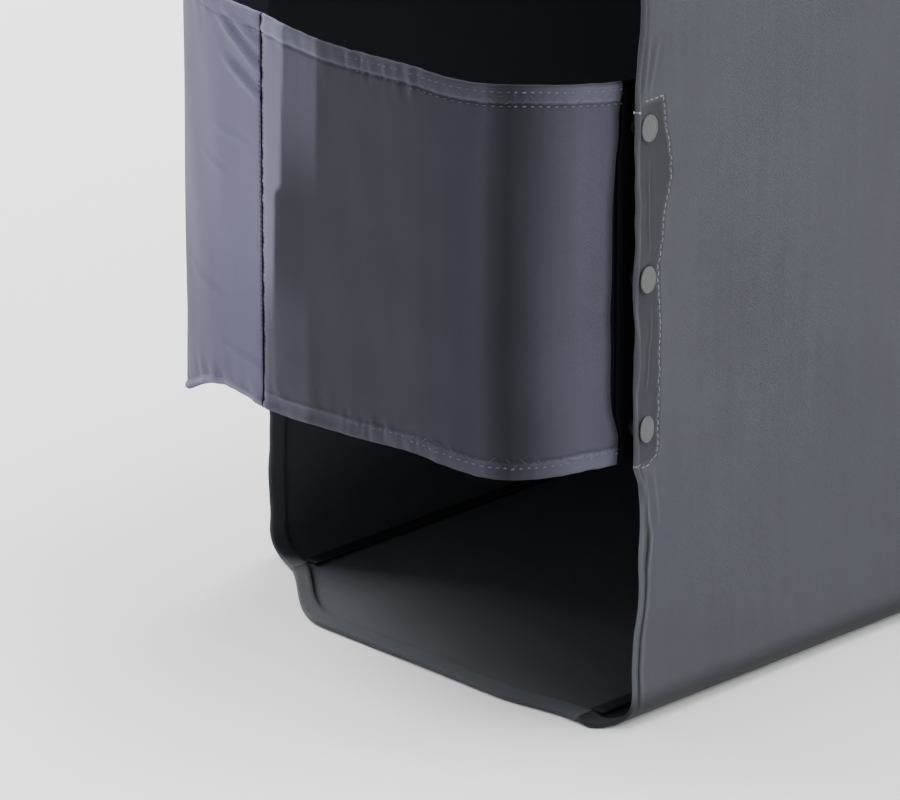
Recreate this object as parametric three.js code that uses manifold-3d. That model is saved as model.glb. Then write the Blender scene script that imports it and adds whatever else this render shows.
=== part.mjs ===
// A stretch-fabric cover for a medium hard-shell suitcase, lying on one long side.
// The mouth is at the wheel end (-Y). A wide strap, sewn into the back panel, crosses the
// mouth and snaps to the inside of the front panel. +X is the front, +Z is up. Millimetres.
import * as THREE from 'three';
import { mergeVertices } from 'three/addons/utils/BufferGeometryUtils.js';
import Module from 'manifold-3d';

const wasm = await Module();
wasm.setup();

// ---- Driving dimensions --------------------------------------------------------------
const LENGTH = 660;         // along Y, from the strap's face to the handle end
const WIDTH = 450;          // along Z, between the two long sides
const DEPTH = 278.4;        // along X, between the front and back faces
const CLOTH = 1.2;          // thickness of a cloth panel
const HEM_CLOTH = 0.8;      // thickness of a turned hem or a tape
const GAP = 0.3;            // space left between pieces that touch
const EDGE_R = 24;          // rounding of the long edges
const WHEEL_R = 75;         // rounding from the wheel face to the front and back faces
const HANDLE_R = 60;        // the same at the handle end
const CORNER_R = 60;        // corners of the front face
const PANEL_SEAM = DEPTH / 2 - EDGE_R;   // the gusset seams lie at +-X here

const FRONT_MOUTH = 72;     // how far from the wheel face the front panel starts
const SIDE_MOUTH = 52;
const BACK_MOUTH = 97;
const HEM = 10;             // width of a turned hem

const STRAP_SEAM_X = -40;   // the seam between the strap's root and main panels
const STRAP_END = 95;       // distance of the strap's end from the wheel face
const STRAP_FACE = 1.1;     // the strap cloth lies this far inside its hems' faces
const STRAP_HEM = 9;
const END_CORNER_R = 66;    // the strap's rounding, along X, where it dives inside the front

const SNAP_Z = 225.5;       // height of the middle snap
const SNAP_PITCH = 74.5;
const SNAP_Y = 79;          // distance of the snaps from the wheel face
const CAP_PROUD = 1.6;      // height of a snap's cap over the cloth
const CAP_R = 6.4;
const SOCKET_R = 5.8;
const PLACKET = { y0: 73.5, y1: 95, half: 92 };

const SLOT = { x: -38, z: WIDTH / 2, w: 66, l: 230, r: 20, binding: 9 };
const ZIP = { y: 330, l: 190, half: 7, tape: 14, coil: 1.9, divider: 1.8 };

// ---- Colours -------------------------------------------------------------------------
const paint = (color, roughness, metalness = 0) =>
  new THREE.MeshStandardMaterial({ color, roughness, metalness });
const clothFront = paint(0x656c75, 0.85);
const clothStrap = paint(0x42454f, 0.85);
const clothRoot = paint(0x7d7d92, 0.85);
const tapeDark = paint(0x3c3f47, 0.9);
const elasticWhite = paint(0x8c8c8c, 0.9);
const snapCap = paint(0x8f938f, 0.45, 0.3);
const snapMetal = paint(0xb4b4b0, 0.3, 1);
const zipPlastic = paint(0x2c2e33, 0.5);

const cover = new THREE.Group();
cover.position.set(-CAP_PROUD / 2, -LENGTH / 2, 0);

// ---- Solid helpers -------------------------------------------------------------------
function solid(geometry) {
  const bare = geometry.index ? geometry.toNonIndexed() : geometry.clone();
  bare.deleteAttribute('normal');
  bare.deleteAttribute('uv');
  const merged = mergeVertices(bare, 1e-4);
  return new wasm.Manifold(new wasm.Mesh({
    numProp: 3,
    vertProperties: new Float32Array(merged.attributes.position.array),
    triVerts: new Uint32Array(merged.index.array),
  }));
}

function add(name, shape, material) {
  const mesh = shape.getMesh();
  const geometry = new THREE.BufferGeometry();
  const points = new THREE.BufferAttribute(new Float32Array(mesh.vertProperties), 3);
  geometry.setAttribute('position', points);
  geometry.setIndex(new THREE.BufferAttribute(new Uint32Array(mesh.triVerts), 1));
  geometry.computeVertexNormals();
  const node = new THREE.Mesh(geometry, material);
  node.name = name;
  cover.add(node);
}

const box = (x0, x1, y0, y1, z0, z1) => solid(
  new THREE.BoxGeometry(x1 - x0, y1 - y0, z1 - z0)
    .translate((x0 + x1) / 2, (y0 + y1) / 2, (z0 + z1) / 2));

// An outline in X-Y, extruded up Z.
function alongZ(outline, z0, z1) {
  const g = new THREE.ExtrudeGeometry(new THREE.Shape(outline), {
    depth: z1 - z0, bevelEnabled: false, steps: 1 });
  return solid(g.translate(0, 0, z0));
}

// An outline in Z-Y, extruded along X.
function alongX(outline, x0, x1) {
  const g = new THREE.ExtrudeGeometry(new THREE.Shape(outline), {
    depth: x1 - x0, bevelEnabled: false, steps: 1 });
  return solid(g.rotateY(-Math.PI / 2).translate(x1, 0, 0));
}

// An outline in X-Z, extruded along Y.
function alongY(outline, y0, y1) {
  const g = new THREE.ExtrudeGeometry(new THREE.Shape(outline), {
    depth: y1 - y0, bevelEnabled: false, steps: 1 });
  return solid(g.rotateX(Math.PI / 2).translate(0, y1, 0));
}

// A disc or a pin lying along X, from x0 to x1.
const pinX = (r, x0, x1, y, z, sides = 20) => solid(
  new THREE.CylinderGeometry(r, r, x1 - x0, sides)
    .rotateZ(Math.PI / 2).translate((x0 + x1) / 2, y, z));

// A rectangle's points with a radius of its own at each end, anticlockwise.
function rounded(x0, x1, y0, y1, rLow, rHigh, steps) {
  const points = [];
  const corner = (cx, cy, r, from) => {
    for (let i = 0; i <= steps; i++) {
      const a = from + (Math.PI / 2) * (i / steps);
      points.push(new THREE.Vector2(cx + r * Math.cos(a), cy + r * Math.sin(a)));
    }
  };
  corner(x1 - rHigh, y1 - rHigh, rHigh, 0);
  corner(x0 + rHigh, y1 - rHigh, rHigh, Math.PI / 2);
  corner(x0 + rLow, y0 + rLow, rLow, Math.PI);
  corner(x1 - rLow, y0 + rLow, rLow, 1.5 * Math.PI);
  return points;
}

// ---- The body: a case-shaped skin, cut into panels ------------------------------------
// The case shape is what its three outlines have in common, taken in by a depth.
function caseShape(depth) {
  const x = DEPTH / 2 - depth;
  const y0 = depth;
  const y1 = LENGTH - depth;
  const plan = rounded(-x, x, y0, y1, WHEEL_R - depth, HANDLE_R - depth, 9);
  const face = rounded(depth, WIDTH - depth, y0, y1, CORNER_R - depth, CORNER_R - depth, 8);
  const end = rounded(-x, x, depth, WIDTH - depth, EDGE_R - depth, EDGE_R - depth, 5);
  return alongZ(plan, 0, WIDTH)
    .intersect(alongX(face, -DEPTH / 2, DEPTH / 2))
    .intersect(alongY(end, 0, LENGTH));
}

const skin = (depth, thickness) => caseShape(depth).subtract(caseShape(depth + thickness));

// The mouth's edge, seen from above, and what lies behind it by some distance.
const mouthCurve = new THREE.CatmullRomCurve3([
  [-DEPTH / 2 - 9, BACK_MOUTH], [-PANEL_SEAM - 12, BACK_MOUTH], [-PANEL_SEAM + 26, SIDE_MOUTH + 6],
  [-40, SIDE_MOUTH], [60, SIDE_MOUTH], [PANEL_SEAM - 8, SIDE_MOUTH + 1],
  [PANEL_SEAM + 14, FRONT_MOUTH - 7], [DEPTH / 2 - 2, FRONT_MOUTH], [DEPTH / 2 + 9, FRONT_MOUTH],
].map(([x, y]) => new THREE.Vector3(x, y, 0)));
const mouthPoints = mouthCurve.getPoints(40).map((p) => [p.x, p.y]);

function behindMouth(from, to = null) {
  const near = mouthPoints.map(([x, y]) => new THREE.Vector2(x, y + from));
  const far = to === null
    ? [new THREE.Vector2(DEPTH / 2 + 9, LENGTH + 9), new THREE.Vector2(-DEPTH / 2 - 9, LENGTH + 9)]
    : mouthPoints.map(([x, y]) => new THREE.Vector2(x, y + to)).reverse();
  return alongZ([...near, ...far], -9, WIDTH + 9);
}

const s = PANEL_SEAM;
const far = 400;
const half = GAP / 2;
const low = WIDTH / 2;
const endSeam = LENGTH - CORNER_R;
const zones = {
  front: box(s + half, far, -far, LENGTH + far, -far, WIDTH + far),
  back: box(-far, -s - half, -far, LENGTH + far, -far, WIDTH + far),
  lower: box(-s + half, s - half, -far, endSeam - half, -far, low),
  upper: box(-s + half, s - half, -far, endSeam - half, low, WIDTH + far),
  end: box(-s + half, s - half, endSeam + half, LENGTH + far, -far, WIDTH + far),
};

const clothSkin = skin(0, CLOTH).intersect(behindMouth(0));
const snapZ = [SNAP_Z + SNAP_PITCH, SNAP_Z, SNAP_Z - SNAP_PITCH];
const face = DEPTH / 2;
const shankR = 1.7;
const shankHole = 2.1;

let frontPanel = clothSkin.intersect(zones.front);
for (const z of snapZ) {
  frontPanel = frontPanel.subtract(pinX(shankHole, face - 20, face + 5, SNAP_Y, z, 16));
}
add('front_panel', frontPanel, clothFront);
add('back_panel', clothSkin.intersect(zones.back), clothFront);
add('lower_side_panel', clothSkin.intersect(zones.lower), clothFront);

// The upper side has a zipped opening over the case's side handle.
const zipCut = box(-ZIP.half, ZIP.half, ZIP.y - ZIP.l / 2, ZIP.y + ZIP.l / 2, low, far * 2);
add('upper_side_panel', clothSkin.intersect(zones.upper).subtract(zipCut), clothFront);

// The handle end has an opening for the telescopic handle and the carry handle.
const slotOutline = (grow) => rounded(
  SLOT.x - SLOT.w / 2 - grow, SLOT.x + SLOT.w / 2 + grow,
  SLOT.z - SLOT.l / 2 - grow, SLOT.z + SLOT.l / 2 + grow,
  SLOT.r + grow, SLOT.r + grow, 5);
const slotCut = alongY(slotOutline(0), LENGTH - 40, LENGTH + 40);
add('handle_end_panel', clothSkin.intersect(zones.end).subtract(slotCut), clothFront);
const bindingRing = alongY(slotOutline(SLOT.binding), LENGTH - 40, LENGTH + 40).subtract(slotCut);
add('handle_slot_facing', skin(CLOTH + GAP, HEM_CLOTH).intersect(bindingRing), tapeDark);

// ---- Hems and elastic round the mouth -------------------------------------------------
const elasticDepth = CLOTH + GAP;
const hemDepth = elasticDepth + 0.6 + GAP;
const hemSkin = skin(hemDepth, HEM_CLOTH).intersect(behindMouth(GAP, HEM));
const elasticSkin = skin(elasticDepth, 0.6).intersect(behindMouth(2, 7));
const frontHemSkin = skin(CLOTH + GAP, HEM_CLOTH).intersect(behindMouth(GAP, HEM));

let frontHem = frontHemSkin.intersect(zones.front);
for (const z of snapZ) {
  frontHem = frontHem.subtract(pinX(shankHole, face - 20, face + 5, SNAP_Y, z, 16));
}
add('front_mouth_hem', frontHem, clothFront);
for (const zone of ['back', 'lower', 'upper']) {
  add(`${zone}_mouth_hem`, hemSkin.intersect(zones[zone]), clothFront);
  add(`${zone}_mouth_elastic`, elasticSkin.intersect(zones[zone]), elasticWhite);
}

// Overlocked tapes over the two gusset seams, on the inside, round the handle end.
const tapeSkin = skin(CLOTH + GAP, HEM_CLOTH).intersect(behindMouth(HEM + 3));
for (const [name, x] of [['front_seam_tape', s], ['back_seam_tape', -s]]) {
  add(name, tapeSkin.intersect(box(x - 4, x + 4, -far, LENGTH + far, -far, WIDTH + far)), tapeDark);
}

// ---- The placket and its snaps --------------------------------------------------------
// Layers run inwards from the front panel: hem, facing, socket, stud, strap, post.
const facingOuter = face - CLOTH - GAP - HEM_CLOTH - GAP;
const facingInner = facingOuter - 1;
let facing = box(facingInner, facingOuter, PLACKET.y0, PLACKET.y1,
  SNAP_Z - PLACKET.half, SNAP_Z + PLACKET.half);
for (const z of snapZ) facing = facing.subtract(pinX(shankHole, 0, far, SNAP_Y, z, 16));
add('placket_facing', facing, clothFront);

const socketOuter = facingInner - GAP;
const socketInner = socketOuter - 2.8;
const studBase = socketInner - GAP;
const studHead = socketInner + 2;
const boreTop = socketOuter - 0.5;
const shankEnd = boreTop + 0.1;
const strapOuter = studBase - 0.6 - GAP;       // outer face of the strap's end facing

function capShape(z) {
  const profile = [[0, face + 0.3], [0, face + CAP_PROUD]];
  for (let i = 1; i <= 6; i++) {
    const a = (i / 6) * (Math.PI / 2);
    const r = CAP_R * Math.sin(a);
    profile.push([r, face + 0.9 + (CAP_PROUD - 0.9) * Math.cos(a)]);
  }
  profile.push([CAP_R, face + 0.3], [0, face + 0.3]);
  const g = new THREE.LatheGeometry(profile.map(([r, h]) => new THREE.Vector2(r, h)).reverse(), 28);
  const dome = solid(g.rotateZ(-Math.PI / 2).translate(0, SNAP_Y, z));
  return dome.add(pinX(shankR, shankEnd, face + 0.6, SNAP_Y, z, 16));
}

snapZ.forEach((z, i) => {
  const n = i + 1;
  add(`snap_cap_${n}`, capShape(z), snapCap);
  const socket = pinX(SOCKET_R, socketInner, socketOuter, SNAP_Y, z, 24)
    .subtract(pinX(shankHole, socketInner - 1, socketOuter + 1, SNAP_Y, z, 16))
    .subtract(pinX(3.3, socketInner - 1, boreTop, SNAP_Y, z, 20));
  add(`snap_socket_${n}`, socket, snapMetal);
  const stud = pinX(5.4, studBase - 0.6, studBase, SNAP_Y, z, 24)
    .add(pinX(2.8, studBase - 0.1, studHead, SNAP_Y, z, 20))
    .subtract(pinX(1.4, studBase - 2, studHead - 0.6, SNAP_Y, z, 16));
  add(`snap_stud_${n}`, stud, snapMetal);
});

// ---- The strap ------------------------------------------------------------------------
// Its outer line, seen from above: the back face, a round corner, the wheel face and a
// tighter corner that takes the end inside the front panel.
const endX = strapOuter - 1 - GAP;             // outer face of the strap cloth at its end
const backX = -face + STRAP_FACE;
const wheelY = STRAP_FACE;

function strapLine(depth) {
  const x0 = backX + depth;
  const x1 = endX - depth;
  const y = wheelY + depth;
  const rBack = WHEEL_R - wheelY - depth;
  const rx = END_CORNER_R - depth;
  const points = [[x0, BACK_MOUTH - 1]];
  for (let i = 0; i <= 12; i++) {
    const a = (i / 12) * (Math.PI / 2);
    points.push([x0 + rBack * (1 - Math.cos(a)), WHEEL_R - rBack * Math.sin(a)]);
  }
  points.push([STRAP_SEAM_X, y]);
  for (let i = 0; i <= 12; i++) {
    const a = (i / 12) * (Math.PI / 2);
    points.push([x1 - rx + rx * Math.sin(a), WHEEL_R - rBack * Math.cos(a)]);
  }
  points.push([x1, STRAP_END]);
  return points.map(([px, py]) => new THREE.Vector2(px, py));
}

const strapLayer = (depth, thickness) =>
  alongZ([...strapLine(depth), ...strapLine(depth + thickness).reverse()], 0, WIDTH);

// The strap's long edges, as heights over X: it flares towards the back panel.
const edgeCurve = (points) => new THREE.CatmullRomCurve3(
  points.map(([x, z]) => new THREE.Vector3(x, z, 0))).getPoints(36);
const edges = {
  lower: edgeCurve([[-160, 96], [-face, 103], [-112, 116], [-82, 134], [-62, 138],
    [STRAP_SEAM_X, 134], [50, 134], [100, 130], [150, 130]]),
  upper: edgeCurve([[-160, 360], [-face, 354], [-112, 343], [-82, 333], [-62, 331],
    [STRAP_SEAM_X, 330], [50, 329], [100, 325], [150, 320]]),
};

// What lies between two heights over an edge, or between the two edges, taken in by inset.
function overEdge(name, from, to) {
  const points = [
    ...edges[name].map((p) => new THREE.Vector2(p.x, p.y + from)),
    ...edges[name].map((p) => new THREE.Vector2(p.x, p.y + to)).reverse()];
  return alongY(points, -far, far);
}

function betweenEdges(inset) {
  const points = [
    ...edges.lower.map((p) => new THREE.Vector2(p.x, p.y + inset)),
    ...edges.upper.map((p) => new THREE.Vector2(p.x, p.y - inset)).reverse()];
  return alongY(points, -far, far);
}

const rootZone = box(-far, STRAP_SEAM_X - half, -far, far, -far, far * 2);
const mainZone = box(STRAP_SEAM_X + half, far, -far, far, -far, far * 2);
const strapCloth = strapLayer(0, CLOTH).intersect(betweenEdges(1.2));

let mainPanel = strapCloth.intersect(mainZone);
for (const z of snapZ) mainPanel = mainPanel.subtract(pinX(1.3, 60, far, SNAP_Y, z, 16));
add('strap_main_panel', mainPanel, clothStrap);
add('strap_root_panel', strapCloth.intersect(rootZone), clothRoot);

// Each hem folds round an edge of the strap, with a flat elastic inside the fold.
const tuckY = FRONT_MOUTH - 6;                 // the hems end here, and the end's facing starts
const tuckCut = box(60, far, tuckY - GAP, far, -far, far * 2);
const hemBody = strapLayer(-STRAP_FACE, CLOTH + STRAP_FACE + 2).subtract(tuckCut);
const hemHollow = strapLayer(-GAP, CLOTH + 2 * GAP + 0.9);
const elasticLayer = strapLayer(CLOTH + 0.2, 0.5).subtract(tuckCut);
for (const [name, up] of [['lower', 1], ['upper', -1]]) {
  const span = (a, b) => [Math.min(up * a, up * b), Math.max(up * a, up * b)];
  const hem = hemBody.intersect(overEdge(name, ...span(0, STRAP_HEM)))
    .subtract(hemHollow.intersect(overEdge(name, ...span(0.9, STRAP_HEM + 5))));
  add(`strap_${name}_hem`, hem, clothStrap);
  add(`strap_${name}_elastic`, elasticLayer.intersect(overEdge(name, ...span(1.5, 7))),
    elasticWhite);
}

// Inside: the tape over the strap's seam, and the facing that stiffens the snapped end.
const tapeZone = box(STRAP_SEAM_X - 5, STRAP_SEAM_X + 5, -far, far, -far, far * 2);
add('strap_seam_tape', strapLayer(CLOTH + GAP, HEM_CLOTH).intersect(tapeZone)
  .intersect(betweenEdges(STRAP_HEM + 1)), tapeDark);

let endFacing = box(strapOuter - 1, strapOuter, tuckY, STRAP_END, 0, WIDTH)
  .intersect(betweenEdges(2));
for (const z of snapZ) endFacing = endFacing.subtract(pinX(1.3, 60, far, SNAP_Y, z, 16));
add('strap_end_facing', endFacing, tapeDark);

snapZ.forEach((z, i) => {
  const inner = endX - CLOTH - GAP;
  const post = pinX(5, inner - 0.8, inner, SNAP_Y, z, 24)
    .add(pinX(1, inner - 0.1, studHead - 0.9, SNAP_Y, z, 12));
  add(`snap_post_${i + 1}`, post, snapMetal);
});

// ---- The zip over the side handle -----------------------------------------------------
const top = WIDTH;
const zipY0 = ZIP.y - ZIP.l / 2;
const zipY1 = ZIP.y + ZIP.l / 2;
const tapeTop = top - CLOTH - GAP;
const coilIn = ZIP.divider / 2;
for (const [name, side] of [['front', 1], ['back', -1]]) {
  const edge = (a, b) => [Math.min(side * a, side * b), Math.max(side * a, side * b)];
  add(`zip_tape_${name}`,
    box(...edge(coilIn + 0.4, ZIP.tape), zipY0 - 8, zipY1 + 8, tapeTop - HEM_CLOTH, tapeTop),
    zipPlastic);
  add(`zip_coil_${name}`,
    box(...edge(coilIn, coilIn + ZIP.coil), zipY0 + 3, zipY1 - 3, tapeTop + GAP, tapeTop + 1.9),
    zipPlastic);
}

// Slider: two plates, joined by the divider between the coils, and a lug with a hole.
const sliderL = 11;
const sliderY = zipY0 + 6 + sliderL / 2;
const plateTop = tapeTop + 1.9 + GAP;
const plateLow = tapeTop - HEM_CLOTH - GAP;
const lugTop = plateTop + 1.1 + 2.9;
const lugHole = solid(new THREE.CylinderGeometry(0.9, 0.9, 8, 16)
  .rotateZ(Math.PI / 2).translate(0, sliderY + 1.5, lugTop - 1.5));
const slider = box(-4.2, 4.2, sliderY - sliderL / 2, sliderY + sliderL / 2, plateTop, plateTop + 1.1)
  .add(box(-4.2, 4.2, sliderY - sliderL / 2, sliderY + sliderL / 2, plateLow - 1.1, plateLow))
  .add(box(-0.6, 0.6, sliderY - 3, sliderY + sliderL / 2 - 1, plateLow - 0.5, plateTop + 0.5))
  .add(box(-1, 1, sliderY - 2, sliderY + 4, plateTop + 0.5, lugTop))
  .subtract(lugHole);
add('zip_slider', slider, snapMetal);

// Pull: a flat tab whose fork straddles the lug, with a pin through the lug's hole.
const pullZ = lugTop - 1.5;
const pinY = sliderY + 1.5;
const pull = box(-3.2, 3.2, pinY + 4.2, pinY + 30, pullZ - 0.7, pullZ + 0.7)
  .add(box(-3.2, -1.5, pinY - 1.2, pinY + 4.5, pullZ - 0.7, pullZ + 0.7))
  .add(box(1.5, 3.2, pinY - 1.2, pinY + 4.5, pullZ - 0.7, pullZ + 0.7))
  .add(box(-2, 2, pinY - 0.45, pinY + 0.45, pullZ - 0.45, pullZ + 0.45))
  .subtract(box(-1.8, 1.8, pinY + 22, pinY + 27, pullZ - 3, pullZ + 3));
add('zip_pull', pull, snapMetal);

const stop = (y) => box(-3.4, 3.4, y - 1.2, y + 1.2, tapeTop + GAP, tapeTop + 2.1);
add('zip_stop_closed', stop(zipY0 + 1.3), snapMetal);
add('zip_stop_open', stop(zipY1 - 1.3), snapMetal);

export default cover;
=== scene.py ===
"""A stretch-fabric luggage cover with the strap that closes its mouth.

Lengths are in millimetres: x from the middle of the case's depth, y from its wheel face, z from
its lower side. row() turns them into the row frame.
"""

import bpy
import numpy as np
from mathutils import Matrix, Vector
from mathutils.bvhtree import BVHTree
from numpy import arange, array, clip, concatenate as join, cos, cross, exp, hypot, interp
from numpy import linspace, maximum, minimum, pi, radians, sin, sqrt, stack, where
from numpy.linalg import norm


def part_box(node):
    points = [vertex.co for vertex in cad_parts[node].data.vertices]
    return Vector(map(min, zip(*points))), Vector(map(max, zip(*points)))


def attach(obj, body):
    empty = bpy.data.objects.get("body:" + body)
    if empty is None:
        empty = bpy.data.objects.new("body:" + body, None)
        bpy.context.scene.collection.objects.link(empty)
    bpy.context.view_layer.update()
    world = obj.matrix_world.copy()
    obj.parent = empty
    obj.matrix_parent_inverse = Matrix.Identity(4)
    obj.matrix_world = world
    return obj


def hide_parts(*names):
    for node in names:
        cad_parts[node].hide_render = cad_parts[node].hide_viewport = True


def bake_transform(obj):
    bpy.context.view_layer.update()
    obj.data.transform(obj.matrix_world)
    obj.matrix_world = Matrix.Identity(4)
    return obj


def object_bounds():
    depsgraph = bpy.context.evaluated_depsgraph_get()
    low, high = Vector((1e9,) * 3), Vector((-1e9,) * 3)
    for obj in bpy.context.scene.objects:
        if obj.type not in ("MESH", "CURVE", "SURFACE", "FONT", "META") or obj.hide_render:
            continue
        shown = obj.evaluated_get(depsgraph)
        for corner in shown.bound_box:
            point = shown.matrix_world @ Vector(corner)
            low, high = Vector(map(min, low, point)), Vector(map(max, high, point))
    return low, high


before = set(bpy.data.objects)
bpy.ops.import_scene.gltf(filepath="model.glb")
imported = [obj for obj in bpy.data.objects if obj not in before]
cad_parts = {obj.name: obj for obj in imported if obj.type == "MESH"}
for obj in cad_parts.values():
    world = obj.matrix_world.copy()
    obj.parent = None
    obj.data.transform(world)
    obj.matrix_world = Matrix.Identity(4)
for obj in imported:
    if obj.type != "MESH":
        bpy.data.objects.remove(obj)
cad_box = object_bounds()

# ---- The case shape, from the frame
MM = 0.001
FRONT_X, BACK_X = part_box("front_panel")[1].x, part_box("back_panel")[0].x
FACE = (FRONT_X - BACK_X) / 2 / MM
MID_X = (FRONT_X + BACK_X) / 2 / MM
WHEEL_Y = cad_box[0].y / MM
LENGTH = (cad_box[1].y - cad_box[0].y) / MM
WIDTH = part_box("upper_side_panel")[1].z / MM


def case_box(name):
    """The lowest and the highest corner of a node, in case millimetres."""
    return [array(corner) / MM - (MID_X, WHEEL_Y, 0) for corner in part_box(name)]


def row(points):
    """Case millimetres to row metres."""
    return (np.asarray(points, float) + (MID_X, WHEEL_Y, 0)) * MM


EDGE_R = 24  # rounding of the long edges
EDGE_SQUARE = 4.2  # how far it is pushed out, towards a square edge
HANDLE_R = 60  # rounding of the face into the handle end
CORNER_R = 66  # the gusset's own turn at a handle-end corner
CORNER_REACH = 78  # how far before the handle end that turn begins to crown
INNER_R = 30  # corners of a face's flat part
WHEEL_R = 75  # rounding into the wheel face
SEAM_X = FACE - EDGE_R  # the gusset's seams
FRONT_MOUTH, SIDE_MOUTH, BACK_MOUTH = 72, 52, 97
CLOTH = 0.6  # thickness of the cloth
CUT = 0.94  # the cloth's cut size, as a share of its size on the case
FOLD_R = 1.15  # radius of a turned edge
HEM_LEG = 9  # width of the turned-in part of a hem
FRONT_HEM, BACK_HEM, SIDE_HEM = 2.7, 8.4, 8.6  # where a mouth hem is stitched
UNDER_HEM = 4  # how far the strap's root goes under the back panel

STRAP_FACE = 1.1  # the strap lies this far inside the case's outline
STRAP_END_R = 66
STRAP_END_X = case_box("strap_main_panel")[1][0]
STRAP_SEAM_X = (case_box("strap_main_panel")[0][0] + case_box("strap_root_panel")[1][0]) / 2
SNAPS = [case_box(f"snap_cap_{i}") for i in (1, 2, 3)]
SNAP_Z, SNAP_Y = [np.mean(snap, axis=0)[2] for snap in SNAPS], np.mean(SNAPS[0], axis=0)[1]
SHANK_X, CAP_X, CAP_R = SNAPS[0][0][0], SNAPS[0][1][0], np.ptp(SNAPS[0], axis=0)[2] / 2
(_, PLACKET_Y0, PLACKET_Z0), (PLACKET_X, PLACKET_Y1, PLACKET_Z1) = case_box("placket_facing")
PLACKET_TOP = 313  # its stitched upper edge
ON_COVER, ON_STRAP = ("cover_cloth", "cover"), ("strap_cloth", "closing_strap")
STRAP_TAPE = "tape_cloth", "closing_strap"


# ---- Soft shapes
def together(*values):
    """The values as float arrays of one shape."""
    return np.broadcast_arrays(*(np.asarray(value, float) for value in values))


def unit(vectors):
    return vectors / maximum(norm(vectors, axis=-1, keepdims=True), 1e-9)


def run(points):
    """The length along a line, up to each of its points."""
    return join([[0], np.cumsum(norm(np.diff(points, axis=0), axis=1))])


def at_length(points, along, at):
    """A line's points, or the values that go with them, at some lengths along it."""
    return stack([interp(at, along, column) for column in np.transpose(points)], -1)


def ramp(x, a, b):
    t = clip((x - a) / (b - a), 0, 1)
    return t * t * (3 - 2 * t)


def bump(x, middle, width):
    return exp(-(((x - middle) / width) ** 2))


def waves(u, v, length, angle, spread, seed, count=9):
    """Soft irregular ripples about length apart, running at an angle in degrees."""
    r = np.random.default_rng(seed)
    total = np.zeros(np.broadcast(u, v).shape)
    for _ in range(count):
        k = 2 * pi / (length * r.uniform(0.7, 1.5))
        t = radians(angle + r.uniform(-spread, spread))
        total += cos(k * (u * cos(t) + v * sin(t)) + r.uniform(0, 6.283))
    return total / sqrt(count / 2)


def crease(u, v, start, end, width, height, trough=0.6):
    """A ridge with a trough beside it, dying away at both ends."""
    d = array(end, float) - start
    long = hypot(*d)
    d /= long
    t = ((u - start[0]) * d[0] + (v - start[1]) * d[1]) / long
    off = (u - start[0]) * -d[1] + (v - start[1]) * d[0]
    fade = ramp(t, -0.05, 0.3) * (1 - ramp(t, 0.75, 1.05))
    return height * fade * (bump(off, 0, width) - trough * bump(off, 1.7 * width, width))


def creases(u, v, *each):
    return sum(crease(u, v, *one) for one in each)


def eased(xs, ys, soft=13):
    """A line through a few points, with its corners rounded over soft mm."""
    dense = linspace(xs[0], xs[-1], 600)
    reach = max(int(soft / (xs[-1] - xs[0]) * 600), 2)
    kernel = np.hanning(2 * reach + 1)
    padded = np.pad(interp(dense, xs, ys), reach, mode="edge")
    rounded = np.convolve(padded, kernel / kernel.sum(), mode="valid")
    return lambda x: interp(x, dense, rounded)


# ---- Surfaces, each from the flat cut (a, b) to a point
REACH_Y = INNER_R + HANDLE_R * np.arccos(1 - EDGE_R / HANDLE_R)
REACH_Z = INNER_R + EDGE_R * pi / 2
CORNER_Y = LENGTH - HANDLE_R - INNER_R
CORNER_Z = EDGE_R + INNER_R
CORNER_ARC = pi / 2 * CORNER_R  # length of the gusset's turn at a corner
PANEL_A1 = CORNER_Y + REACH_Y
PANEL_B0 = CORNER_Z - REACH_Z
PANEL_B1 = WIDTH - PANEL_B0
AROUND = 2 * (CORNER_Y + CORNER_ARC) + WIDTH - 2 * CORNER_Z


def pillow(a, b):
    """(drop, y, z) of a face panel, rounded down to its seams on three sides."""
    a, b = together(a, b)
    flat_z = WIDTH / 2 - CORNER_Z
    side, w = np.sign(b - WIDTH / 2), abs(b - WIDTH / 2)
    u = clip((a - CORNER_Y) / REACH_Y, 0, 1)
    v = clip((w - flat_z) / REACH_Z, 0, 1)
    p, q = u * sqrt(1 - v * v / 2), v * sqrt(1 - u * u / 2)
    rho = hypot(p, q)
    ny, nz = p / maximum(rho, 1e-9), q / maximum(rho, 1e-9)
    radius = HANDLE_R * ny**2 + EDGE_R * nz**2 + 1e-9
    whole = np.arccos(clip(1 - EDGE_R / radius, -1, 1))
    r = rho * (INNER_R + radius * whole)
    angle = maximum(r - INNER_R, 0) / radius
    square = EDGE_SQUARE * sin(pi * clip(angle / whole, 0, 1)) ** 2 * nz**4
    out = minimum(r, INNER_R) + (radius + square) * sin(angle)
    y = where(a > CORNER_Y, CORNER_Y + out * ny, a)
    z = WIDTH / 2 + side * where(w > flat_z, flat_z + out * nz, w)
    return radius - (radius + square) * cos(angle), y, z


def face_surface(side):
    def surface(a, b):
        drop, y, z = pillow(a, b)
        return stack([side * (FACE - drop), y, z], -1)
    return surface


def flat_sheet(x):
    """An upright plane at x, for facings."""
    return lambda a, b: stack([0 * a + x, a, b], -1)


front_face, back_face = face_surface(1), face_surface(-1)


def along_corner(t):
    """(share of the turn, shares of a and b on the face panel, length beyond) at t."""
    turn = clip((t - CORNER_Y) / CORNER_ARC, 0, 1)
    beyond = maximum(t - CORNER_Y - CORNER_ARC, 0)
    return turn, minimum(2 * turn, 1), minimum(2 - 2 * turn, 1), beyond


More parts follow.
